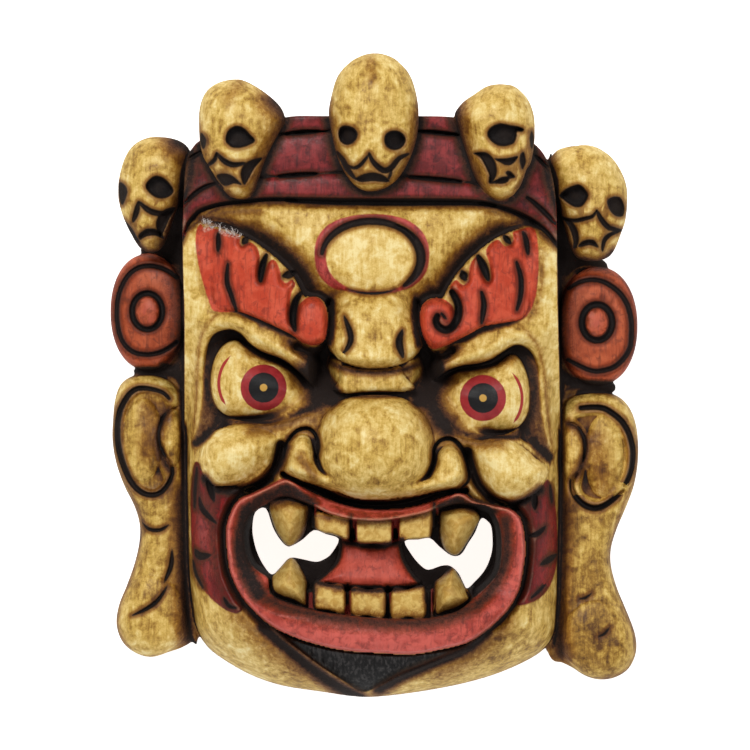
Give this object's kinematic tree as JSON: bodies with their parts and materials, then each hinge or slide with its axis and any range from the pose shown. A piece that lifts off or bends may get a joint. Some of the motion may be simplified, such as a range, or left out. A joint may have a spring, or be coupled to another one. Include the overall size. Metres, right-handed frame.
{
  "type": "mask",
  "caption": "Carved wooden wrathful dance mask with a crown of small skulls, ear discs, long ears and an open fanged mouth, hollowed behind.",
  "frame": {"origin": "middle of the outline on the plane of the flat back rim, which the mask lies on", "axes": "+Z out of the face through the nose, +Y up the face towards the crown of skulls, +X to the right as one looks at the face"},
  "size_m": [0.2702, 0.3164, 0.1118],
  "materials": {
    "painted_wood": "hand painted ochre, red and black over carved wood, with a dark antiquing wash in the recesses and a soft wax sheen"
  },
  "bodies": {
    "root": {"carved_mask": "painted_wood"}
  },
  "joints": []
}
